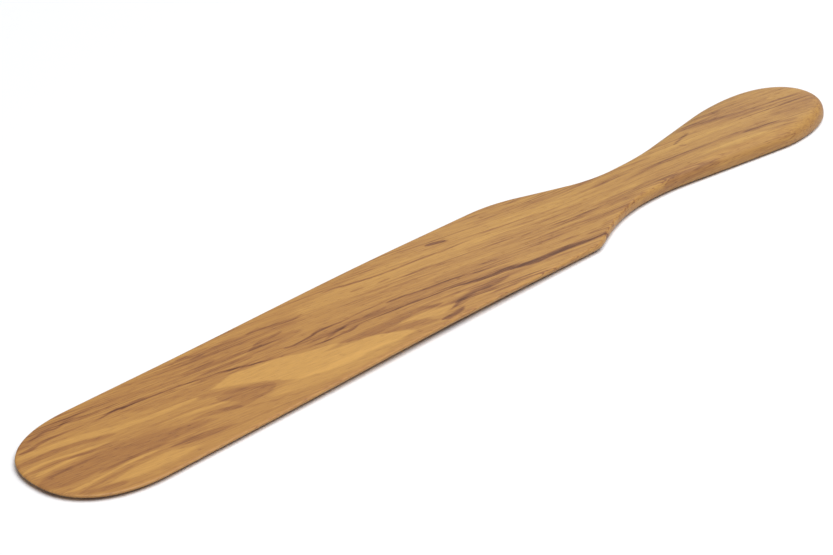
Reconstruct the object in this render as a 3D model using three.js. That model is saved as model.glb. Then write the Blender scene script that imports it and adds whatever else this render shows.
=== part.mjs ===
import * as THREE from 'three';

const { clamp, degToRad, lerp, smoothstep } = THREE.MathUtils;

// A crepe spatula cut from one board of olive wood: a thin blade with a round tip, a shoulder on one
// side, a narrow neck and a thick rounded handle. Millimetres, +Z up. The tip points to -X and the
// handle to +X, the shoulder is on the -Y side, and the origin lies under the middle of the spatula,
// on the surface that it rests on. A station is a distance from the blade's tip.

// Length and tip
const overallLength = 350;
const bladeWidth = 47.4; // where the tip's rounding begins
const heelWidth = 45.8; // where the sweep to the neck begins
const tipRound = 30.8; // length of the tip's rounding
const tipFullness = 2.3; // 2 is an ellipse, more is blunter

// Shoulder side: straight edge, shoulder, cove and swell of the handle
const shoulderStation = 212; // where the straight edge ends
const shoulderRadius = 8;
const shoulderCoveRadius = 69;
const shoulderRamp = 24.8; // steepest turn of the edge, in degrees
const neckNear = 12.1; // from the blade's centre line to the edge
const nearSwellStartRadius = 97;
const nearSwellEndRadius = 39;
const nearSwellRamp = 8.1;
const handleNear = 19.8;

// Far side: straight edge, long sweep and swell of the handle
const sweepStation = 198.6;
const sweepRadius = 52;
const sweepCoveRadius = 49;
const sweepRamp = 22.3;
const neckFar = 8.3;
const farSwellStartRadius = 101;
const farSwellEndRadius = 95;
const farSwellRamp = 10.3;
const handleFar = 16.2;

// Handle's end
const endRound = 31; // length of the end's rounding
const endFullness = 2.1;
const endThinning = 0.5; // how much the handle's top falls towards its end

// Thickness and underside
const tipThickness = 1.9;
const heelThickness = 3;
const handleThickness = 6.2;
const heelStation = 195; // the blade stops growing thicker, and the rise to the handle begins
const handleTopStation = 300; // the rise is complete
const undersideLift = 0.7; // the middle of the blade arches this high
const tipRestStation = 60; // the flat under the tip ends
const archStation = 145; // the arch is highest
const handleRestStation = 215; // the flat under the handle begins

// Rounded edges: the widest line's height as a share of the thickness, and how far each rounding reaches in
const bladeEdge = 0.76;
const handleEdge = 0.15;
const edgeStation = 150; // the widest line begins to sink from the blade's height to the handle's
const bladeTopRound = 1;
const neckTopRound = 1.4;
const handleTopRound = 6;
const topFullness = 2.3; // more is a crisper edge
const undersideRound = 2.4;
const undersideFullness = 1.4; // less is flatter, like a bevel
const neckRoundStation = 238; // the neck's rounding is reached here
const handleRoundStation = 305; // and the handle's here
const deepestRound = 0.9; // a rounding takes at most this share of the way to the middle

// Fineness of the faceted surface
const sideSteps = 60;
const quarterSteps = 10;
const roundSteps = 4;

// A smooth step of the given height: an arc, a straight ramp and a second arc, each tangent to the next
function smoothStep(height, startRadius, endRadius, rampDegrees) {
  const radii = startRadius + endRadius;
  const arcsAlone = Math.acos(Math.max(1 - height / radii, -1));
  const turn = Math.min(degToRad(rampDegrees), arcsAlone);
  const ramp = (height - radii * (1 - Math.cos(turn))) / Math.sin(turn);
  const rampStart = startRadius * Math.sin(turn);
  const rampEnd = rampStart + ramp * Math.cos(turn);
  const run = rampEnd + endRadius * Math.sin(turn);
  const rise = (distance) => {
    if (distance <= 0) return 0;
    if (distance >= run) return height;
    if (distance < rampStart) return startRadius - Math.sqrt(startRadius ** 2 - distance ** 2);
    if (distance > rampEnd) return height - endRadius + Math.sqrt(endRadius ** 2 - (run - distance) ** 2);
    return startRadius * (1 - Math.cos(turn)) + (distance - rampStart) * Math.tan(turn);
  };
  return { run, rise };
}

// Distance from the blade's centre line to the edge on the shoulder side and on the far side. The two
// straight edges draw in slightly from the tip's rounding to the sweep.
const bladeHalf = bladeWidth / 2;
const heelHalf = heelWidth / 2;
const handleStation = overallLength - endRound;
const shoulder = smoothStep(heelHalf - neckNear, shoulderRadius, shoulderCoveRadius, shoulderRamp);
const nearSwell = smoothStep(handleNear - neckNear, nearSwellStartRadius, nearSwellEndRadius, nearSwellRamp);
const sweep = smoothStep(heelHalf - neckFar, sweepRadius, sweepCoveRadius, sweepRamp);
const farSwell = smoothStep(handleFar - neckFar, farSwellStartRadius, farSwellEndRadius, farSwellRamp);

function straightEdge(station) {
  const along = (station - tipRound) / (sweepStation - tipRound);
  return lerp(bladeHalf, heelHalf, clamp(along, 0, 1));
}

function nearEdge(station) {
  const cut = shoulder.rise(station - shoulderStation);
  return straightEdge(station) - cut + nearSwell.rise(station - handleStation + nearSwell.run);
}

function farEdge(station) {
  const cut = sweep.rise(station - sweepStation);
  return straightEdge(station) - cut + farSwell.rise(station - handleStation + farSwell.run);
}

// Heights of the underside, the top and the widest line along the spatula
function undersideHeight(station) {
  const lifted = smoothstep(station, tipRestStation, archStation);
  const lowered = smoothstep(station, archStation, handleRestStation);
  return undersideLift * (lifted - lowered);
}

function topHeight(station) {
  const bladeThickness = lerp(tipThickness, heelThickness, clamp(station / heelStation, 0, 1));
  const alongHandle = clamp((station - handleTopStation) / (overallLength - handleTopStation), 0, 1);
  const bladeTop = undersideHeight(station) + bladeThickness;
  const handleTop = handleThickness - endThinning * alongHandle ** 2;
  return lerp(bladeTop, handleTop, smoothstep(station, heelStation, handleTopStation));
}

function edgeHeight(station) {
  const share = lerp(bladeEdge, handleEdge, smoothstep(station, edgeStation, handleTopStation));
  return lerp(undersideHeight(station), topHeight(station), share);
}

// Reach of the rounding along the top edge: tight on the blade, wider at the neck, widest on the handle
function topRound(station) {
  const towardsNeck = lerp(bladeTopRound, neckTopRound, smoothstep(station, heelStation, neckRoundStation));
  return lerp(towardsNeck, handleTopRound, smoothstep(station, neckRoundStation, handleRoundStation));
}

// Quarter of a superellipse from its side (0) to its end (1), as shares of its length and half-width
function quarterRound(share, fullness) {
  const angle = share * Math.PI / 2;
  return { along: Math.sin(angle) ** (2 / fullness), across: Math.cos(angle) ** (2 / fullness) };
}

// The outline, seen from above and run anticlockwise from the tip: shoulder side, end, far side
const endMiddle = (farEdge(handleStation) - nearEdge(handleStation)) / 2;
const endHalf = (farEdge(handleStation) + nearEdge(handleStation)) / 2;

function tipPoint(share, side) {
  const { along, across } = quarterRound(share, tipFullness);
  return new THREE.Vector2(tipRound * (1 - along), side * bladeHalf * across);
}

function endPoint(share, side) {
  const { along, across } = quarterRound(share, endFullness);
  return new THREE.Vector2(handleStation + endRound * along, endMiddle + side * endHalf * across);
}

function outlinePoints() {
  const quarter = Array.from({ length: quarterSteps }, (unused, step) => step / quarterSteps);
  const stations = Array.from({ length: sideSteps + 1 }, (unused, step) =>
    lerp(tipRound, handleStation, step / sideSteps));
  const fromEnd = stations.toReversed();
  return [
    ...quarter.map((share) => tipPoint(1 - share, -1)),
    ...stations.map((station) => new THREE.Vector2(station, -nearEdge(station))),
    ...quarter.slice(1).map((share) => endPoint(share, -1)),
    ...quarter.map((share) => endPoint(1 - share, 1)),
    ...fromEnd.map((station) => new THREE.Vector2(station, farEdge(station))),
    ...quarter.slice(1).map((share) => tipPoint(share, 1)),
  ];
}

// The line along the middle of the outline, where the two halves of each surface meet
function spinePoint(point) {
  const station = clamp(point.x, tipRound, handleStation);
  return new THREE.Vector2(station, (farEdge(station) - nearEdge(station)) / 2);
}

// One strip of surface points from the spine below, round the edge, to the spine above
function stripPoints(point) {
  const spine = spinePoint(point);
  const breadth = point.distanceTo(spine);
  const place = (reach, share, fullness, heightAt) => {
    const { along, across } = quarterRound(share, fullness);
    const flat = point.clone().lerp(spine, reach * (1 - across) / breadth);
    const height = lerp(edgeHeight(flat.x), heightAt(flat.x), along);
    return new THREE.Vector3(flat.x - overallLength / 2, flat.y, height);
  };
  const limit = deepestRound * breadth;
  const below = Math.min(undersideRound, limit);
  const above = Math.min(topRound(point.x), limit);
  const shares = Array.from({ length: roundSteps }, (unused, step) => (step + 1) / roundSteps);
  return [
    new THREE.Vector3(spine.x - overallLength / 2, spine.y, undersideHeight(spine.x)),
    ...shares.toReversed().map((share) => place(below, share, undersideFullness, undersideHeight)),
    place(below, 0, undersideFullness, undersideHeight),
    ...shares.map((share) => place(above, share, topFullness, topHeight)),
    new THREE.Vector3(spine.x - overallLength / 2, spine.y, topHeight(spine.x)),
  ];
}

// Joins the strips into one closed surface. Strips that start or end at the same place on the spine
// share that corner, and a triangle that would have no area there is left out.
function spatulaGeometry() {
  const strips = outlinePoints().map(stripPoints);
  const positions = [];
  const corners = new Map();
  const corner = (point) => {
    const key = point.toArray().map((value) => value.toFixed(4)).join();
    if (!corners.has(key)) {
      corners.set(key, positions.length / 3);
      positions.push(...point.toArray());
    }
    return corners.get(key);
  };
  const grid = strips.map((strip) => strip.map(corner));
  const triangles = [];
  const addTriangle = (a, b, c) => {
    if (a !== b && b !== c && c !== a) triangles.push(a, b, c);
  };
  grid.forEach((strip, index) => {
    const next = grid[(index + 1) % grid.length];
    for (let row = 0; row + 1 < strip.length; row += 1) {
      addTriangle(strip[row], next[row], next[row + 1]);
      addTriangle(strip[row], next[row + 1], strip[row + 1]);
    }
  });
  const geometry = new THREE.BufferGeometry();
  geometry.setAttribute('position', new THREE.Float32BufferAttribute(positions, 3));
  geometry.setIndex(triangles);
  geometry.computeVertexNormals();
  return geometry;
}

const oliveWood = new THREE.MeshStandardMaterial({ color: 0xb98a52, roughness: 0.6, metalness: 0 });
const spatula = new THREE.Mesh(spatulaGeometry(), oliveWood);
spatula.name = 'spatula';

const assembly = new THREE.Group();
assembly.add(spatula);

export default assembly;
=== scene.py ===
import math

import bpy
import numpy as np
from mathutils import Matrix, Vector


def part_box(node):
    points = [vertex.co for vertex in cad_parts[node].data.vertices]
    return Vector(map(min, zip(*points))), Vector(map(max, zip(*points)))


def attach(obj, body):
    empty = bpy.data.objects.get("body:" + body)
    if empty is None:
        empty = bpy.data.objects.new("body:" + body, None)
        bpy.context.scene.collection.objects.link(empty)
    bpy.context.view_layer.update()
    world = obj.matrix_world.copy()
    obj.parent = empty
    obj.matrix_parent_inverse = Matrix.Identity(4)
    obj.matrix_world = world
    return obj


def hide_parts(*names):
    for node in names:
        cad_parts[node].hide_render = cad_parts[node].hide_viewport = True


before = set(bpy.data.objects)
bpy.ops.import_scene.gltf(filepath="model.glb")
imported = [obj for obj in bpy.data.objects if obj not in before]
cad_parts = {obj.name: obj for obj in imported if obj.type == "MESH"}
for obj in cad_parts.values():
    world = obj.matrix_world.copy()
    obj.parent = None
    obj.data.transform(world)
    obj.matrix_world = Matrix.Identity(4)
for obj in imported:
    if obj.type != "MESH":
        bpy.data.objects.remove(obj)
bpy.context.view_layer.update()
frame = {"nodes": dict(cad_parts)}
mm = 0.001
print("frame loaded:", ", ".join(frame["nodes"]))


def srgb(red, green, blue):
    # screen colour, 0 to 255, to the linear colour that a socket takes
    share = np.array((red, green, blue)) / 255
    linear = np.where(share <= 0.04045, share / 12.92, ((share + 0.055) / 1.055) ** 2.4)
    return (*linear.tolist(), 1.0)


# camera at the photograph's angle, image taken as 833 x 555
camera = dict(azimuth=-45.22, elevation=28.63, roll=-0.74, distance=878.3 * mm, lens=120.0, sensor=36.0,
              target=(-14.39 * mm, 8.35 * mm, 0.0), clipStart=0.01, clipEnd=50)


def placeCamera():
    turn = math.radians(camera["azimuth"])
    tilt = math.radians(camera["elevation"])
    level = Vector((math.cos(turn), math.sin(turn), 0))
    back = Vector((math.sin(turn) * math.cos(tilt), -math.cos(turn) * math.cos(tilt), math.sin(tilt)))
    right = Matrix.Rotation(math.radians(camera["roll"]), 3, back) @ level
    data = bpy.data.cameras.new("camera")
    data.lens = camera["lens"]
    data.sensor_width = camera["sensor"]
    data.sensor_fit = "HORIZONTAL"
    data.clip_start = camera["clipStart"]
    data.clip_end = camera["clipEnd"]
    data.dof.use_dof = False
    eye = bpy.data.objects.new("camera", data)
    rotation = Matrix((right, back.cross(right), back)).transposed()
    place = Vector(camera["target"]) + back * camera["distance"]
    eye.matrix_world = Matrix.Translation(place) @ rotation.to_4x4()
    bpy.context.collection.objects.link(eye)
    bpy.context.scene.camera = eye


placeCamera()
print("camera placed")


mixSockets = dict(factor=0, first=6, second=7, result=2)  # of a Mix node that is set to colour


# shader values: arithmetic on a Value adds Math nodes to its material
class Value:
    def __init__(self, shader, socket):
        self.shader = shader
        self.socket = socket

    def math(self, operation, *inputs):
        return self.shader.node("ShaderNodeMath", dict(operation=operation), inputs)

    def __add__(self, other):
        return self.math("ADD", self, other)

    def __sub__(self, other):
        return self.math("SUBTRACT", self, other)

    def __rsub__(self, other):
        return self.math("SUBTRACT", other, self)

    def __mul__(self, other):
        return self.math("MULTIPLY", self, other)

    def __abs__(self):
        return self.math("ABSOLUTE", self)

    __radd__ = __add__
    __rmul__ = __mul__


class Shader:
    def __init__(self, name):
        self.material = bpy.data.materials.new(name)
        self.material.use_nodes = True
        self.tree = self.material.node_tree
        self.tree.nodes.clear()

    def node(self, kind, settings, inputs, output=0):
        made = self.tree.nodes.new(kind)
        for name, setting in settings.items():
            if name == "stops":
                self.setStops(made.color_ramp, setting)
            elif name == "points":
                self.setPoints(made.mapping, setting)
            else:
                setattr(made, name, setting)
        named = inputs.items() if isinstance(inputs, dict) else enumerate(inputs)
        for key, given in named:
            if isinstance(given, Value):
                self.tree.links.new(given.socket, made.inputs[key])
            else:
                made.inputs[key].default_value = given
        if isinstance(output, tuple):
            return tuple(Value(self, made.outputs[name]) for name in output)
        return Value(self, made.outputs[output]) if len(made.outputs) else made

    def setStops(self, ramp, stops):
        while len(ramp.elements) < len(stops):
            ramp.elements.new(1.0)
        for element, (position, colour) in zip(ramp.elements, stops):
            element.position = position
            element.color = colour

    def setPoints(self, mapping, points):
        curve = mapping.curves[0]
        while len(curve.points) < len(points):
            curve.points.new(0.5, 0.5)
        for point, (position, height) in zip(curve.points, points):
            point.location = (position, height)
            point.handle_type = "AUTO_CLAMPED"
        mapping.update()

    def smooth(self, value, start, end):
        # 0 up to start, 1 from end on, eased between
        return self.node("ShaderNodeMapRange", dict(interpolation_type="SMOOTHSTEP"),
                         {"Value": value, "From Min": start, "From Max": end})

    def curve(self, share, heights):
        # eased line through (share, height) pairs, share running from 0 to 1
        low = min(height for _, height in heights)
        span = max(height for _, height in heights) - low or 1.0
        points = [(position, (height - low) / span) for position, height in heights]
        return self.node("ShaderNodeFloatCurve", dict(points=points), {"Value": share}) * span + low

    def tinted(self, colour, tint):
        # the two colours multiplied
        settings = dict(data_type="RGBA", blend_type="MULTIPLY", clamp_factor=True)
        inputs = {mixSockets["factor"]: 1.0, mixSockets["first"]: colour, mixSockets["second"]: tint}
        return self.node("ShaderNodeMix", settings, inputs, mixSockets["result"])


# floor: plain pale sheet, seen by the camera as white where no shadow falls
floor = dict(size=8.0, drop=0.2 * mm, seen=(0.94, 0.95, 0.975, 1), bounce=(0.8, 0.8, 0.8, 1))


def makeFloor():
    half = floor["size"] / 2
    corners = np.array([(-1, -1), (1, -1), (1, 1), (-1, 1)]) * half
    sheet = bpy.data.meshes.new("floor")
    sheet.from_pydata([(x, y, -floor["drop"]) for x, y in corners.tolist()], [], [(0, 1, 2, 3)])
    shader = Shader("paleFloor")
    straight, glossy, transmitted = shader.node(
        "ShaderNodeLightPath", {}, {}, ("Is Camera Ray", "Is Glossy Ray", "Is Transmission Ray"))
    seen = shader.node("ShaderNodeBsdfDiffuse", {}, {"Color": floor["seen"]})
    bounce = shader.node("ShaderNodeBsdfDiffuse", {}, {"Color": floor["bounce"]})
    looked = straight + glossy + transmitted
    mixed = shader.node("ShaderNodeMixShader", {}, (looked, bounce, seen))
    shader.node("ShaderNodeOutputMaterial", {}, {"Surface": mixed})
    sheet.materials.append(shader.material)
    piece = bpy.data.objects.new("floor", sheet)
    bpy.context.collection.objects.link(piece)


# light: a softbox above, a dim low one behind that gives the wood its sheen, and an even dim room
light = dict(
    above=dict(size=2.8, place=(0.2, -1.0, 2.9), watts=117.0),
    behind=dict(size=1.0, place=(1.5, 0.8, 0.75), watts=3.0),
    room=0.15)


def makeSoftbox(name, size, place, watts):
    data = bpy.data.lights.new(name, "AREA")
    data.shape = "SQUARE"
    data.size = size
    data.energy = watts
    lamp = bpy.data.objects.new(name, data)
    aim = (-Vector(place)).to_track_quat("-Z", "Y")
    lamp.matrix_world = Matrix.Translation(place) @ aim.to_matrix().to_4x4()
    bpy.context.collection.objects.link(lamp)


def makeLight():
    makeSoftbox("above", **light["above"])
    makeSoftbox("behind", **light["behind"])
    world = bpy.data.worlds.new("room")
    bpy.context.scene.world = world
    world.use_nodes = True
    background = world.node_tree.nodes["Background"]
    background.inputs["Color"].default_value = (1, 1, 1, 1)
    background.inputs["Strength"].default_value = light["room"]


makeFloor()
makeLight()
bpy.context.scene.view_settings.view_transform = "Standard"
print("floor and light made")


# the spatula's shape, in millimetres; a station is a distance from the blade's tip
low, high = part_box("spatula")
shape = dict(
    length=(high.x - low.x) / mm, bladeWidth=(high.y - low.y) / mm, handleThickness=high.z / mm,
    heelWidth=45.8, tipRound=30.8, tipFullness=2.3,
    # shoulder side and far side: where the cut begins, and distances from the centre line at neck and handle
    near=dict(cutStation=212, cut=dict(startRadius=8, endRadius=69, ramp=24.8), neck=12.1,
              swell=dict(startRadius=97, endRadius=39, ramp=8.1), handle=19.8),
    far=dict(cutStation=198.6, cut=dict(startRadius=52, endRadius=49, ramp=22.3), neck=8.3,
             swell=dict(startRadius=101, endRadius=95, ramp=10.3), handle=16.2),
    endRound=31, endFullness=2.1, endThinning=0.5,
    tipThickness=1.9, heelThickness=3, heelStation=195, handleTopStation=300,
    undersideLift=0.7, tipRestStation=60, archStation=145, handleRestStation=215,
    bladeEdge=0.76, handleEdge=0.15, edgeStation=150,
    bladeTopRound=1, neckTopRound=1.4, handleTopRound=6, topFullness=2.3,
    undersideRound=2.4, undersideFullness=1.4,
    neckRoundStation=238, handleRoundStation=305, deepestRound=0.9,
    sideSteps=400, quarterSteps=44, roundSteps=16, flatSteps=12,
    decimals=4)  # points that agree to this many are one vertex


def ease(station, start, end):
    # 0 up to start, 1 from end on, cubic between
    share = np.clip((station - start) / (end - start), 0, 1)
    return share * share * (3 - 2 * share)


def blend(first, second, share):
    return first + (second - first) * share


def stepPlan(height, startRadius, endRadius, ramp):
    # an arc, a straight ramp and a second arc, each tangent to the next: the ramp's turn, its start and end,
    # and the run of all three
    radii = startRadius + endRadius
    turn = min(math.radians(ramp), math.acos(max(1 - height / radii, -1)))
    slope = (height - radii * (1 - math.cos(turn))) / math.sin(turn)
    rampStart = startRadius * math.sin(turn)
    rampEnd = rampStart + slope * math.cos(turn)
    run = rampEnd + endRadius * math.sin(turn)
    return turn, rampStart, rampEnd, run


def stepRise(distance, height, startRadius, endRadius, ramp):
    # how far that step has risen at a distance from its start
    turn, rampStart, rampEnd, run = stepPlan(height, startRadius, endRadius, ramp)
    way = np.clip(distance, 0, run)
    left = np.minimum(run - way, endRadius * math.sin(turn))
    first = startRadius - np.sqrt(startRadius ** 2 - np.minimum(way, rampStart) ** 2)
    last = height - endRadius + np.sqrt(endRadius ** 2 - left ** 2)
    straight = startRadius * (1 - math.cos(turn)) + (way - rampStart) * math.tan(turn)
    return np.where(way < rampStart, first, np.where(way > rampEnd, last, straight))


def sideEdge(station, cutStation, cut, neck, swell, handle):
    # the straight edge draws in from the tip to the heel, is cut down to the neck, and swells to the handle
    drawnIn = (station - shape["tipRound"]) / (shape["far"]["cutStation"] - shape["tipRound"])
    straight = blend(shape["bladeWidth"], shape["heelWidth"], np.clip(drawnIn, 0, 1)) / 2
    cutRise = stepRise(station - cutStation, shape["heelWidth"] / 2 - neck, **cut)
    *_, swellRun = stepPlan(handle - neck, **swell)
    swellStart = shape["length"] - shape["endRound"] - swellRun
    return straight - cutRise + stepRise(station - swellStart, handle - neck, **swell)


def nearEdge(station):
    return sideEdge(station, **shape["near"])


def farEdge(station):
    return sideEdge(station, **shape["far"])


def undersideHeight(station):
    lifted = ease(station, shape["tipRestStation"], shape["archStation"])
    lowered = ease(station, shape["archStation"], shape["handleRestStation"])
    return shape["undersideLift"] * (lifted - lowered)


def topHeight(station):
    grown = np.clip(station / shape["heelStation"], 0, 1)
    bladeTop = undersideHeight(station) + blend(shape["tipThickness"], shape["heelThickness"], grown)
    onHandle = (station - shape["handleTopStation"]) / (shape["length"] - shape["handleTopStation"])
    handleTop = shape["handleThickness"] - shape["endThinning"] * np.clip(onHandle, 0, 1) ** 2
    return blend(bladeTop, handleTop, ease(station, shape["heelStation"], shape["handleTopStation"]))


def edgeHeight(station):
    # the widest line, a share of the way from underside to top
    sunk = ease(station, shape["edgeStation"], shape["handleTopStation"])
    share = blend(shape["bladeEdge"], shape["handleEdge"], sunk)
    return blend(undersideHeight(station), topHeight(station), share)


def topRound(station):
    towardsNeck = ease(station, shape["heelStation"], shape["neckRoundStation"])
    towardsHandle = ease(station, shape["neckRoundStation"], shape["handleRoundStation"])
    reach = blend(shape["bladeTopRound"], shape["neckTopRound"], towardsNeck)
    return blend(reach, shape["handleTopRound"], towardsHandle)


def quarter(turn, fullness):
    # a quarter of a superellipse from its side (0) to its end (1), as shares of its length and half-width
    angle = turn * np.pi / 2
    return np.sin(angle) ** (2 / fullness), np.cos(angle) ** (2 / fullness)


def outline():
    # anticlockwise from the tip: quarter superellipses at tip and end, edge curves between
    handleStation = shape["length"] - shape["endRound"]
    share = np.arange(shape["quarterSteps"]) / shape["quarterSteps"]
    side = np.linspace(shape["tipRound"], handleStation, shape["sideSteps"] + 1)
    half = shape["bladeWidth"] / 2
    endNear, endFar = nearEdge(side[-1:]), farEdge(side[-1:])
    endMiddle, endHalf = (endFar - endNear) / 2, (endFar + endNear) / 2

    def tip(turn, sign):
        along, across = quarter(turn, shape["tipFullness"])
        return np.stack((shape["tipRound"] * (1 - along), sign * half * across), 1)

    def end(turn, sign):
        along, across = quarter(turn, shape["endFullness"])
        return np.stack((handleStation + shape["endRound"] * along, endMiddle + sign * endHalf * across), 1)

    points = np.concatenate((
        tip(1 - share, -1),
        np.stack((side, -nearEdge(side)), 1),
        end(share[1:], -1),
        end(1 - share, 1),
        np.stack((side, farEdge(side)), 1)[::-1],
        tip(share[1:], 1)))
    station = np.clip(points[:, 0], shape["tipRound"], handleStation)
    spine = np.stack((station, (farEdge(station) - nearEdge(station)) / 2), 1)
    return points, spine


def spatulaSurface():
    # strips run from the spine below, round the edge on two quarter superellipses, to the spine above;
    # height is taken at each point's own station, so the faces stay true under the slanted strips
    points, spine = outline()
    breadth = np.linalg.norm(points - spine, axis=1)[:, None]
    limit = shape["deepestRound"] * breadth
    above = np.minimum(topRound(points[:, :1]), limit)
    below = np.minimum(shape["undersideRound"], limit)
    turn = np.linspace(0, 1, shape["roundSteps"] + 1)[None, :]
    inward = np.linspace(0, 1, shape["flatSteps"] + 1)[None, 1:]

    def halfStrip(reach, fullness):
        up, across = quarter(turn, fullness)
        inset = np.concatenate((reach * (1 - across) / breadth, blend(reach / breadth, 1, inward)), 1)
        return inset, np.concatenate((up, np.ones_like(inward)), 1)

    upper, upperRise = halfStrip(above, shape["topFullness"])
    lower, lowerRise = halfStrip(below, shape["undersideFullness"])
    inset = np.concatenate((lower[:, :0:-1], upper), 1)
    rise = np.concatenate((-lowerRise[:, :0:-1], upperRise), 1)
    flat = blend(points[:, None, :], spine[:, None, :], inset[..., None])
    station = flat[..., 0]
    floorHeight, roofHeight = undersideHeight(station), topHeight(station)
    level = edgeHeight(station)
    height = np.where(rise > 0, blend(level, roofHeight, rise), blend(level, floorHeight, -rise))
    place = np.stack((station - shape["length"] / 2, flat[..., 1], height), -1)
    return place, roofHeight - height


def meshFromStrips(name, place, marks):
    # one vertex for each different place, two triangles for each cell, and none where a cell has no area
    strips, rows = place.shape[:2]
    keys = np.round(place.reshape(-1, 3), shape["decimals"])
    _, first, corner = np.unique(keys, axis=0, return_index=True, return_inverse=True)
    grid = corner.reshape(strips, rows)
    after = np.roll(grid, -1, 0)
    a, b, c, d = grid[:, :-1], after[:, :-1], after[:, 1:], grid[:, 1:]
    triangles = np.stack((np.stack((a, b, c), -1), np.stack((a, c, d), -1))).reshape(-1, 3)
    triangles = triangles[(triangles != np.roll(triangles, 1, 1)).all(1)]
    mesh = bpy.data.meshes.new(name)
    mesh.from_pydata((place.reshape(-1, 3)[first] * mm).tolist(), [], triangles.tolist())
    mesh.polygons.foreach_set("use_smooth", np.ones(len(triangles), bool))
    for mark, values in marks.items():
        layer = mesh.attributes.new(mark, "FLOAT", "POINT")
        layer.data.foreach_set("value", values.reshape(-1)[first].astype(np.float32))
    mesh.update()
    print(name, "mesh:", len(first), "vertices,", len(triangles), "triangles")
    return mesh


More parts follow.
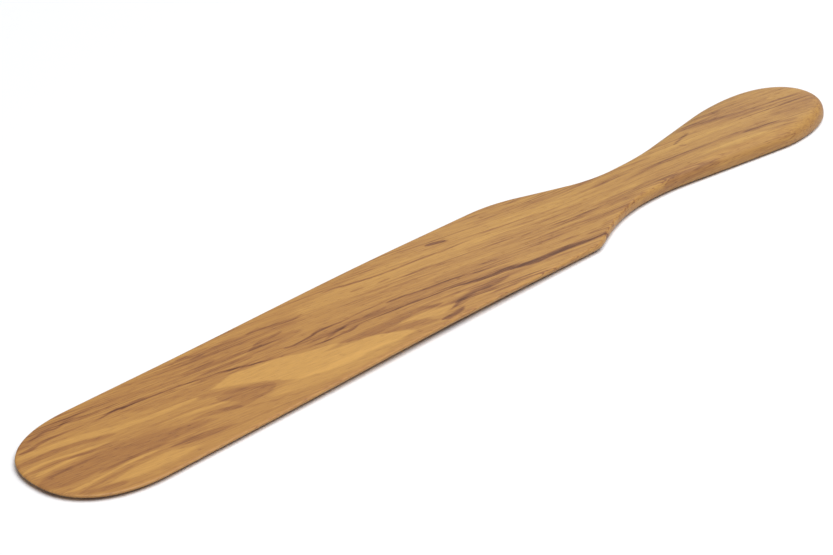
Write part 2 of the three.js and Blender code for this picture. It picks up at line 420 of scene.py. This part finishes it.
# the wood's figure on the top face; each streak is (station, across, half-width) points in
# millimetres, with its strength (below 0 is darker) and how softly its far and near edges fade; the slides,
# by station, and the lean set the whole figure in its place
figure = dict(
    slideAlong=[(0, 0.45), (100, 0.4), (190, -1.6), (230, -0.7), (270, -1.35), (350, -0.5)],
    slideAcross=[(0, -1.7), (95, -1.2), (190, -1.9), (230, -0.5), (270, -0.3), (350, 2.1)],
    lean=-0.065,
    veins=[
        # the long dark vein from tip to shoulder
        (-0.42, 0.7, 0.7, [(25, 12.1, 0), (33, 11.4, 0.5), (40, 11.7, 0.65), (43, 11, 0.8),
                           (47, 10.9, 0.8), (52, 10.2, 0.7), (57, 9.4, 0.6), (62, 8.7, 0.6),
                           (66, 7.4, 0.6), (70, 6.2, 0.6), (75, 5.3, 0.6), (80, 3.8, 0.6), (85, 2.1, 0.6),
                           (91, -0.2, 0.55), (97, -1.6, 0.5), (103, -3.2, 0.5), (108, -4.4, 0.6),
                           (114, -5.3, 0)]),
        (-0.38, 0.6, 0.6, [(106, -4, 0), (111, -5, 0.5), (116, -5.4, 0.6), (120, -5.8, 0.7),
                           (124, -5.4, 0.45), (128, -5.6, 0.45), (133, -6.5, 0.5), (138, -7.3, 0.55),
                           (144, -8.1, 0.55), (150, -9.4, 0.5), (156, -10, 0.5), (162, -11.2, 0)]),
        (-0.48, 0.8, 0.8, [(154, -9.8, 0), (160, -10.8, 0.6), (164, -12, 0.8), (168, -13, 0.9),
                           (173, -13.8, 0.95), (178, -14.3, 1), (184, -16, 1.15), (190, -17.5, 1.25),
                           (195, -17.9, 1.2), (200, -18.1, 1.15), (205, -18.7, 1.1), (210, -19.6, 1),
                           (215, -20.2, 0.85), (220, -20.3, 0.75), (225, -20.3, 0)]),
        # short veins at the tip
        (-0.2, 0.6, 0.6, [(10, 16, 0), (14, 16.6, 0.6), (18, 17.1, 0.6), (22, 16.3, 0.5), (26, 17, 0.7),
                          (30, 16.2, 0.7), (34, 15, 0.6), (39, 14.5, 0.6), (45, 13.8, 0)]),
        (-0.28, 0.5, 0.5, [(4, 12.9, 0), (9, 12.6, 0.7), (14, 13.1, 0.7), (20, 13, 0.6), (26, 12.3, 0.5),
                           (31, 11.6, 0)]),
        # cluster in the middle of the blade
        (-0.37, 0.6, 0.6, [(90, 3.9, 0), (97, 2.4, 0.45), (102, 0.7, 0.5), (108, 0.6, 0.6),
                           (112, 1.1, 0.7), (116, 0.7, 0.6), (120, 0.2, 0.5), (128, -0.4, 0.45),
                           (136, -1, 0.45), (144, -1.7, 0.4), (152, -2.4, 0)]),
        (-0.2, 0.6, 0.6, [(102, -2.6, 0), (107, -2.1, 0.5), (112, -2.7, 0.6), (117, -2.8, 0.6),
                          (122, -2.3, 0.5), (129, -2.1, 0)]),
        (-0.2, 0.5, 0.5, [(108, -4.6, 0), (113, -3.7, 0.6), (118, -3.2, 0.5), (122, -3, 0)]),
        (-0.14, 0.5, 0.5, [(125, -2.9, 0), (130, -3.2, 0.6), (134, -3.7, 0.6), (137, -3.9, 0)]),
        (-0.37, 0.5, 0.5, [(136, -1.9, 0), (140, -2.5, 0.5), (145, -3.3, 0.5), (149, -4.4, 0.45),
                           (153, -5.3, 0.5), (158, -6.1, 0.5), (163, -6.9, 0.5), (167, -7.8, 0.45),
                           (172, -9.4, 0.4), (180, -11, 0.4), (188, -13.2, 0)]),
        # far side of the blade
        (-0.36, 0.5, 0.5, [(125, 17.1, 0), (131, 16.5, 0.5), (136, 15, 0.55), (141, 13.8, 0.55),
                           (146, 12.5, 0.5), (152, 11.4, 0.5), (160, 10.4, 0.5), (168, 9.3, 0.5),
                           (173, 8.4, 0.45), (180, 7.9, 0.4), (188, 6.4, 0)]),
        (-0.35, 0.45, 0.45, [(169.5, 15, 0), (173, 14.3, 0.7), (176, 13.4, 0.7), (179.5, 12.2, 0)]),
        (-0.2, 0.4, 0.4, [(133, 11.2, 0), (136, 10.7, 0.5), (141, 9.7, 0)]),
        (-0.2, 0.4, 0.4, [(143, 9, 0), (146, 8.5, 0.5), (150, 7.8, 0)]),
        (-0.16, 0.4, 0.4, [(94, 16.2, 0), (99, 15.6, 0.6), (104, 13.9, 0.6), (109, 12.7, 0.6),
                           (112, 12.1, 0.5), (118, 13.6, 0)]),
        (-0.18, 0.4, 0.4, [(91, 9, 0), (96, 9.8, 0.6), (101, 9.4, 0.6), (106, 9.8, 0)]),
        (-0.2, 0.5, 0.5, [(69, 20.3, 0), (72, 20, 0.5), (76, 19.4, 0)]),
        (-0.2, 0.5, 0.5, [(72, 17.4, 0), (76, 17.3, 0.5), (81, 17.1, 0)]),
        # handle
        (-0.22, 1.2, 1.2, [(284, 8.6, 0), (290, 7.8, 1.3), (296, 7, 1.5), (302, 5.7, 1.5), (308, 4.2, 1.4),
                           (314, 3.2, 1.1), (322, 2, 0.9), (330, 1, 0.9), (338, 0, 0.9), (347, -2, 0)]),
        (-0.22, 0.5, 0.5, [(295, 10.9, 0), (300, 10.4, 0.7), (306, 9.6, 0.7), (313, 8.9, 0)]),
        (-0.2, 0.9, 0.7, [(301, -8, 0), (307, -8.9, 1), (313, -9.5, 1.1), (318, -11, 1.1), (323, -12.7, 1),
                          (329, -13.3, 0)]),
        (-0.26, 0.5, 0.5, [(278, 2.5, 0), (281, 3.2, 0.6), (286, 4.4, 0.6), (291, 5.2, 0)]),
        (-0.22, 0.5, 0.5, [(279, 1.6, 0), (281, 0.4, 0.6), (283, -1, 0)]),
    ],
    browns=[
        # tip bands and the flame finger
        (-0.2, 1, 1, [(0, 8.2, 1.2), (8, 7.4, 1.5), (15, 6.7, 1.6), (22, 5, 1.5), (28, 3, 1.3),
                      (35, 1.4, 0)]),
        (-0.18, 0.7, 0.7, [(1, 2.8, 0.5), (10, 2, 1), (17, 0.6, 1), (24, -1, 1), (34, -2.3, 0)]),
        (-0.19, 2, 2, [(1, -5, 3), (10, -6, 5.5), (22, -6.6, 5.5), (34, -8, 5), (45, -10, 4),
                       (54, -12, 2.5), (62, -13.5, 0)]),
        (-0.16, 0.8, 0.8, [(3, -3, 0), (9, -3, 0.9), (18, -3.4, 0.8), (27, -4.5, 0)]),
        (-0.2, 0.8, 0.8, [(14, -11.2, 0), (24, -11.5, 1), (34, -12, 1), (44, -13.4, 0)]),
        (-0.2, 1, 1, [(6, -14.5, 0), (13, -15, 0.9), (22, -15, 0.7), (33, -14.8, 0.7), (40, -15, 0)]),
        (-0.2, 1.5, 1.5, [(5, -14.5, 0), (10, -17, 2), (16, -19, 2), (22, -20.5, 0)]),
        (-0.2, 0.6, 1.4, [(37.5, -14.9, 0), (42, -15.9, 1.2), (48, -17.2, 1.9), (54, -18.4, 1.8),
                          (59, -19.2, 1.2), (64, -20, 0)]),
        (-0.15, 0.7, 1.2, [(60, -0.3, 0), (65, -1.9, 1.6), (70, -4.4, 1.9), (75, -6.6, 1.9),
                           (79, -8.4, 1.9), (82, -10.3, 1.7), (84.3, -11, 0)]),
        (-0.16, 1, 0.6, [(50, -8.4, 0), (57, -9.4, 1.2), (63, -11, 1.6), (70, -13, 1.4), (77, -13.1, 1.1),
                         (82, -12.2, 1), (84.3, -11, 0)]),
        (-0.14, 1.4, 1.4, [(64, -5, 0), (68, -7, 3), (72, -8.5, 4.4), (77, -9.8, 3.2), (81, -11, 1.8),
                           (84, -11.2, 0)]),
        (-0.12, 0.9, 0.9, [(61, -10, 0), (64, -11.2, 1.2), (67, -12.7, 1.4), (69.5, -14, 0)]),
        (-0.14, 0.6, 0.6, [(67, -14.4, 0), (72, -15.8, 0.7), (77, -18, 0.7), (82, -20.2, 0)]),
        (-0.14, 0.5, 0.5, [(81, -18.9, 0), (85, -20.4, 0.6), (91, -22.2, 0)]),
        (-0.1, 1.5, 1.5, [(40, 7.5, 0), (50, 6, 2.6), (60, 4.2, 3), (70, 2.8, 1.8), (77, 2.6, 1),
                          (84, 1.6, 0)]),
        # far side
        (-0.17, 2.2, 2.2, [(2, 14, 0.8), (8, 16, 2.6), (14, 17, 3), (20, 17.6, 2.8), (27, 17.8, 2),
                           (36, 17.6, 0)]),
        (-0.06, 3, 3, [(25, 18.5, 0), (40, 17.5, 4), (60, 15, 5.5), (80, 13.5, 6), (100, 12, 6),
                       (118, 13, 0)]),
        (-0.12, 0.7, 0.7, [(64, 12.6, 0), (70, 12.2, 1.3), (76, 12.1, 1.4), (79.8, 12.1, 0)]),
        (-0.12, 0.7, 0.7, [(64, 8.4, 0), (72, 7.8, 1.1), (80, 6.8, 1.4), (86, 5.7, 1.4), (89, 5.2, 0)]),
        (-0.13, 0.8, 1.2, [(87, 7.5, 0), (93, 7.3, 2.4), (100, 6.9, 2.8), (106, 6, 1.9), (111, 5.4, 0)]),
        # middle of the blade
        (-0.11, 1.5, 1.5, [(95, 0.5, 0), (105, -1, 2.2), (115, -2.2, 2.8), (125, -3.2, 2.6),
                           (135, -4.6, 2.8), (148, -6.6, 3), (160, -8.8, 2.6), (172, -11.4, 1.8),
                           (182, -14, 0)]),
        (-0.22, 1.2, 0.9, [(103, -8.6, 0), (112, -9.6, 1.6), (120, -10.6, 2.2), (128, -11.5, 2.5),
                           (135, -11.8, 2.2), (141, -12.2, 1.8), (146, -13.6, 1.6), (151, -15, 0)]),
        (-0.1, 0.8, 0.8, [(140, -12.6, 0), (144, -13.3, 1.1), (148, -14.5, 1), (151, -15.2, 0)]),
        (-0.15, 1.2, 0.9, [(121, -13, 0), (127, -14.8, 1.3), (132, -16.6, 2), (137, -18.3, 2.1),
                           (141, -20.3, 1.2), (143, -21.5, 0)]),
        (-0.13, 1.5, 1.5, [(148, -19, 0), (156, -17, 1.8), (166, -17.5, 2.2), (178, -18, 1.8),
                           (190, -19.5, 0)]),
        # red-brown smudges below the long vein
        (-0.44, 1, 1.2, [(142, -22, 0), (146, -22.5, 1.5), (150, -22.3, 1.4), (155, -21, 0)]),
        (-0.29, 1.3, 1.3, [(147, -20.8, 0), (152, -19, 1.2), (156, -17.7, 1.4), (161, -17.2, 1.5),
                           (166, -18, 1.8), (172, -18.2, 1.6), (179, -17.6, 0)]),
        (-0.16, 0.8, 0.8, [(158, -15.4, 0), (163, -15.6, 0.8), (169, -16.4, 0.9), (175, -16.4, 0)]),
        # heel, neck and handle
        (-0.08, 1.5, 1.5, [(201, -9.6, 0), (206, -10.4, 1.8), (211, -10.7, 1.6), (216, -11, 0)]),
        (-0.1, 1.2, 1.2, [(187, -2.6, 0), (193, -3.2, 1.2), (199, -3, 1.1), (206, -2.8, 0)]),
        (-0.1, 1.4, 1.4, [(210, -3.8, 0), (216, -5.8, 1.6), (222, -7.6, 1.7), (230, -9.6, 0)]),
        (-0.1, 0.8, 0.8, [(198, 10.6, 0), (210, 9.1, 0.8), (221, 7.8, 0.9), (232, 4.4, 1), (245, 2.6, 0.9),
                          (260, 0.5, 0)]),
        (-0.1, 0.7, 0.7, [(202, 4.4, 0), (213, 2.8, 0.8), (225, 0, 0.8), (236, -2.4, 0)]),
        (-0.1, 0.7, 0.7, [(208, -0.2, 0), (220, -2.6, 0.8), (232, -5, 0)]),
        (-0.1, 1.4, 1.4, [(236, 3.4, 0), (244, 2.8, 1.6), (252, 2.2, 1.4), (260, 0.6, 0)]),
        (-0.2, 1, 1, [(240, -0.6, 0), (252, -1.8, 0.9), (262, -2.2, 1.2), (272, -3.4, 1.5),
                      (282, -4.8, 1.5), (292, -5.9, 1.3), (302, -7.4, 1.2), (312, -9, 0)]),
        (-0.15, 1, 1, [(253, -10.6, 0), (260, -11.2, 1), (269, -12, 1.2), (278, -13, 1), (288, -14, 0)]),
        (-0.1, 2, 2, [(283, 8, 0), (288, 8.2, 2), (293, 8.4, 0)]),
        (-0.13, 2.5, 2.5, [(318, -5, 0), (328, -6, 4.5), (338, -6, 5.5), (346, -6, 4), (350, -6, 0)]),
    ],
    golds=[
        # tip
        (0.2, 0.9, 0.9, [(2, 11.2, 0.8), (10, 10.2, 1.5), (18, 8.8, 1.5), (25, 6.9, 1.9), (32, 4.5, 2),
                         (40, 2.5, 1.7), (48, 1, 1.5), (56, 0, 1.3), (64, -1, 0)]),
        (0.22, 0.6, 0.6, [(0.5, 4, 0.6), (6, 4.2, 0.9), (12, 3.4, 0.9), (18, 1.8, 0.9), (24, 0.3, 0.8),
                          (32, -1, 0)]),
        (0.22, 0.6, 0.6, [(2, 0.6, 0), (6, 0.4, 0.9), (12, 0.2, 0.9), (20, -0.4, 0)]),
        (0.22, 0.5, 0.5, [(3, -11.8, 0), (8, -12.9, 0.8), (15, -13.2, 0.8), (24, -12.9, 0.6),
                          (31, -13.3, 0.7), (38, -14.2, 0)]),
        (0.2, 1, 1.6, [(14, -17.4, 0), (20, -17.8, 1.8), (28, -18.6, 3), (36, -19, 3), (43, -20, 1.8),
                       (50, -21.2, 0)]),
        (0.18, 1, 1, [(40, -2.8, 0), (50, -4.6, 1.1), (58, -6, 1.4), (64, -7.5, 1.2), (70, -9.5, 0)]),
        # pale far side of the heel
        (0.13, 4, 4, [(105, 14, 0), (120, 13, 5), (150, 11, 7), (180, 9, 7), (200, 8, 6), (225, 5, 4),
                      (245, 2, 0)]),
        # the large golden patch past the flame finger
        (0.24, 1, 1.2, [(62, 0, 0), (67, 0, 0.6), (72, -0.6, 2.2), (78, -1.8, 4.3), (84, -4.4, 5.4),
                        (88, -6.6, 6.8), (94, -8.6, 7.6), (100, -11, 7), (108, -13, 6.6), (116, -15, 4.6),
                        (122, -16.6, 4), (128, -18.6, 2.6), (136, -20.8, 0)]),
        (0.13, 2, 2, [(72, -14, 0), (82, -16, 2.6), (92, -17.6, 4.4), (102, -19, 4.6), (112, -19.6, 4.4),
                      (122, -20.4, 3), (131, -21.6, 0)]),
        (0.2, 0.9, 0.9, [(130, -13.8, 0), (135, -14.6, 0.9), (140, -16, 1.8), (145, -17.6, 2.5),
                         (149, -18, 1.8), (154, -17.4, 0)]),
        (0.16, 0.8, 0.8, [(152, -20.4, 0), (157, -20.3, 1), (162, -20.8, 1.2), (168, -21.8, 0)]),
        # heel, neck and handle
        (0.1, 0.8, 0.8, [(152, -1.2, 0), (160, -1.6, 1), (172, -3, 1), (184, -3.9, 0)]),
        (0.1, 1.4, 1.4, [(209, -14, 0), (215, -15, 1.6), (221, -15.6, 1.4), (226, -15.6, 0)]),
        (0.1, 1.6, 1.6, [(228, -3, 0), (236, -4.6, 2), (246, -5.8, 2), (256, -6.6, 0)]),
        (0.1, 1.4, 1.4, [(262, 3, 0), (274, 2.6, 1.8), (286, 2, 2), (298, 0.4, 1.8), (308, -2, 0)]),
        (0.16, 1.2, 1.2, [(270, -8, 0), (282, -9.4, 1.1), (294, -10.8, 1.4), (304, -12.4, 1.3),
                          (314, -14, 0)]),
        (0.12, 1.2, 1.2, [(328, 4, 0), (335, 3.4, 1.8), (342, 2.8, 1.8), (348, 1.8, 0)]),
    ])

# olive wood: its tones, how they vary, and layers of noise drawn out along the grain, in millimetres
wood = dict(
    tones=[(0.0, srgb(100, 62, 38)), (0.2, srgb(132, 89, 55)), (0.4, srgb(162, 115, 66)),
           (0.55, srgb(178, 132, 73)), (0.7, srgb(190, 145, 79)), (0.85, srgb(202, 157, 85)),
           (1.0, srgb(214, 168, 91))],
    tint=[(0.0, (1, 0.93, 0.92, 1)), (0.28, (1, 0.94, 0.95, 1)), (0.5, (1, 0.965, 1, 1)),
          (0.8, (1, 1, 0.98, 1))],  # by share of the length
    tone=0.64,  # of the plain wood, on the scale above
    grainSlope=0.16,  # the grain falls towards the shoulder side
    lean=0.6,  # growth layers lean across with depth
    lively=[(0, 0.4), (90, 0.45), (150, 0.85), (190, 1.15), (230, 1.1), (265, 1),
            (350, 0.95)],  # how strong the fine grain is, by station
    farSide=dict(start=3, end=12, strength=[(0, 0.45), (100, 0.45), (150, 0.1), (350, 0)]),  # livelier there
    calm=dict(glow=0.3, depth=2.5, share=0.75),  # share of the fine grain that is lost at this glow or depth
    sides=dict(start=0.4, end=3.0, strength=0.12),  # painted shade: the flanks darker with depth below the top face
    wander=dict(length=60, breadth=22, seed=3, detail=1, reach=1.4),
    rag=dict(length=16, breadth=0.6, seed=11, detail=1, reach=1.3),
    wave=dict(length=26, breadth=3.5, seed=17, detail=2, reach=0.55),
    bands=dict(length=70, breadth=4.5, seed=23, detail=2, strength=0.36),
    streaks=dict(length=30, breadth=1.1, seed=31, detail=2, strength=0.4),
    lines=dict(length=80, breadth=2.2, seed=61, detail=1, strength=0.3, width=0.045),
    hairs=dict(length=45, breadth=1.1, seed=67, detail=1, strength=0.26, width=0.06),
    patches=dict(longer=1.5, broader=3, seedStep=5, start=0.35, end=0.65),  # where lines and hairs show
    fibres=dict(length=6, breadth=0.42, seed=41, detail=2, strength=0.46),
    strands=dict(length=14, breadth=0.4, seed=71, detail=2, strength=1.8),
    halo=dict(spread=1.7, strength=0.16, lines=0.3),  # about each vein
    pores=dict(length=3.2, breadth=0.28, seed=53, detail=0, strength=0.16, sparse=0.64, fade=0.12),
    noiseMiddle=0.5, noiseRoughness=0.55,
    roughness=0.5, roughnessSwing=0.12, specular=0.5, bumpHeight=0.03 * mm)


def grain(shader, along, lane, depth, layer):
    # noise drawn out along the grain: one cell is the layer's length by its breadth
    place = shader.node("ShaderNodeCombineXYZ", {}, (
        along * (1 / layer["length"]),
        lane * (1 / layer["breadth"]),
        depth * (1 / layer["breadth"]) + layer["seed"]))
    inputs = {"Vector": place, "Scale": 1.0, "Detail": layer["detail"], "Roughness": wood["noiseRoughness"]}
    return shader.node("ShaderNodeTexNoise", dict(noise_dimensions="3D"), inputs)


def grainSwing(shader, along, lane, depth, layer):
    # that noise measured from its middle: up to a half either way
    return grain(shader, along, lane, depth, layer) - wood["noiseMiddle"]


def lineMask(shader, along, lane, depth, layer):
    # thin lines along the grain, where the drawn-out noise passes its middle, strong in some places only
    patches = wood["patches"]
    line = shader.smooth(abs(grainSwing(shader, along, lane, depth, layer)), layer["width"], 0.0)
    patch = dict(length=layer["length"] * patches["longer"], breadth=layer["breadth"] * patches["broader"],
                 seed=layer["seed"] + patches["seedStep"], detail=layer["detail"])
    return line * shader.smooth(grain(shader, along, lane, depth, patch), patches["start"], patches["end"])


def streakMask(shader, along, across, farSoft, nearSoft, points, spread=1.0):
    # 1 along the streak's line, fading to 0 at its half-width on either side
    start, end = points[0][0], points[-1][0]
    span = end - start
    share = (along - start) * (1 / span)
    centre = shader.curve(share, [((station - start) / span, height) for station, height, _ in points])
    half = shader.curve(share, [((station - start) / span, width) for station, _, width in points])
    reach = half * spread
    offset = across - centre
    farFade = shader.smooth(reach - offset, 0.0, farSoft * spread)
    nearFade = shader.smooth(reach + offset, 0.0, nearSoft * spread)
    return farFade * nearFade


def woodFigure(shader, along, across, strands):
    # tone with its browns and veins, glow of the golds, and how near the veins are
    tone = wood["tone"]
    for strength, farSoft, nearSoft, points in figure["browns"]:
        tone = tone + streakMask(shader, along, across, farSoft, nearSoft, points) * strength
    glow = 0.0
    for strength, farSoft, nearSoft, points in figure["golds"]:
        glow = streakMask(shader, along, across, farSoft, nearSoft, points) * strength + glow
    # a vein is a dark core of strands in a paler halo
    around = 0.0
    for strength, farSoft, nearSoft, points in figure["veins"]:
        halo = streakMask(shader, along, across, farSoft, nearSoft, points, wood["halo"]["spread"])
        core = halo * halo * (strands * wood["strands"]["strength"] + 1.0)
        tone = tone + (core + halo * wood["halo"]["strength"]) * strength
        around = halo + around
    return tone, glow, around


def oliveWood():
    shader = Shader("oliveWood")
    place = shader.node("ShaderNodeTexCoord", {}, {}, "Object")
    x, y, _ = shader.node("ShaderNodeSeparateXYZ", {}, (place,), ("X", "Y", "Z"))
    depth = shader.node("ShaderNodeAttribute", dict(attribute_name="depth"), {}, "Fac")
    along = x * (1 / mm) + shape["length"] / 2
    across = y * (1 / mm) + depth * wood["lean"]
    share = along * (1 / shape["length"])

    def byStation(heights):
        return shader.curve(share, [(station / shape["length"], height) for station, height in heights])

    # the grain's lanes wander, and the figure's edges are ragged and wavy
    wander = grainSwing(shader, along, across, depth, wood["wander"])
    lane = across + along * wood["grainSlope"] + wander * (2 * wood["wander"]["reach"])
    rag = grainSwing(shader, along, lane, depth, wood["rag"])
    wave = grainSwing(shader, along, lane, depth, wood["wave"])
    figureAlong = along + byStation(figure["slideAlong"]) + across * figure["lean"]
    figureAlong = figureAlong + rag * (2 * wood["rag"]["reach"])
    figureAcross = across + byStation(figure["slideAcross"]) + wave * (2 * wood["wave"]["reach"])
    strands = grainSwing(shader, along, figureAcross, depth, wood["strands"])
    tone, glow, around = woodFigure(shader, figureAlong, figureAcross, strands)

    bands = grainSwing(shader, along, lane, depth, wood["bands"])
    streaks = grainSwing(shader, along, lane, depth, wood["streaks"])
    fibres = grainSwing(shader, along, lane, depth, wood["fibres"])
    lines = lineMask(shader, along, lane, depth, wood["lines"])
    hairs = lineMask(shader, along, lane, depth, wood["hairs"])
    pores = grain(shader, along, lane, depth, wood["pores"])
    porous = shader.smooth(pores, wood["pores"]["sparse"], wood["pores"]["sparse"] + wood["pores"]["fade"])

    # the fine grain is livelier on the far side, and calmer in the golden wood and down the sides
    onFarSide = shader.smooth(figureAcross, wood["farSide"]["start"], wood["farSide"]["end"])
    lively = byStation(wood["lively"]) + onFarSide * byStation(wood["farSide"]["strength"])
    kept = shader.smooth(glow, wood["calm"]["glow"], 0.0) * shader.smooth(depth, wood["calm"]["depth"], 0.0)
    lively = lively * (kept * wood["calm"]["share"] + (1 - wood["calm"]["share"]))
    broad = bands * wood["bands"]["strength"] + streaks * wood["streaks"]["strength"]
    fine = lines * wood["lines"]["strength"] + hairs * wood["hairs"]["strength"]
    # painted shade: the tone is darkened down the flanks, with depth below the top face
    paintedSideShade = shader.smooth(depth, wood["sides"]["start"], wood["sides"]["end"])
    tone = tone + glow + broad * lively - fine * (lively + around * wood["halo"]["lines"])
    tone = tone + fibres * wood["fibres"]["strength"] - porous * wood["pores"]["strength"]
    tone = tone - paintedSideShade * wood["sides"]["strength"]

    colour = shader.node("ShaderNodeValToRGB", dict(stops=wood["tones"]), (tone,))
    tint = shader.node("ShaderNodeValToRGB", dict(stops=wood["tint"]), (share,))
    roughness = fibres * wood["roughnessSwing"] + porous * wood["roughnessSwing"] + wood["roughness"]
    bump = shader.node("ShaderNodeBump", {}, {
        "Strength": 1.0, "Distance": wood["bumpHeight"], "Height": fibres - porous})
    surface = shader.node("ShaderNodeBsdfPrincipled", {}, {
        "Base Color": shader.tinted(colour, tint), "Roughness": roughness, "Normal": bump,
        "Specular IOR Level": wood["specular"]})
    shader.node("ShaderNodeOutputMaterial", {}, {"Surface": surface})
    print("olive wood:", len(shader.tree.nodes), "nodes")
    return shader.material


def makeSpatula():
    place, depth = spatulaSurface()
    mesh = meshFromStrips("spatulaWood", place, dict(depth=depth))
    mesh.materials.append(oliveWood())
    piece = bpy.data.objects.new("spatulaWood", mesh)
    bpy.context.collection.objects.link(piece)
    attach(piece, "root")
    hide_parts("spatula")


makeSpatula()
print("spatula made")
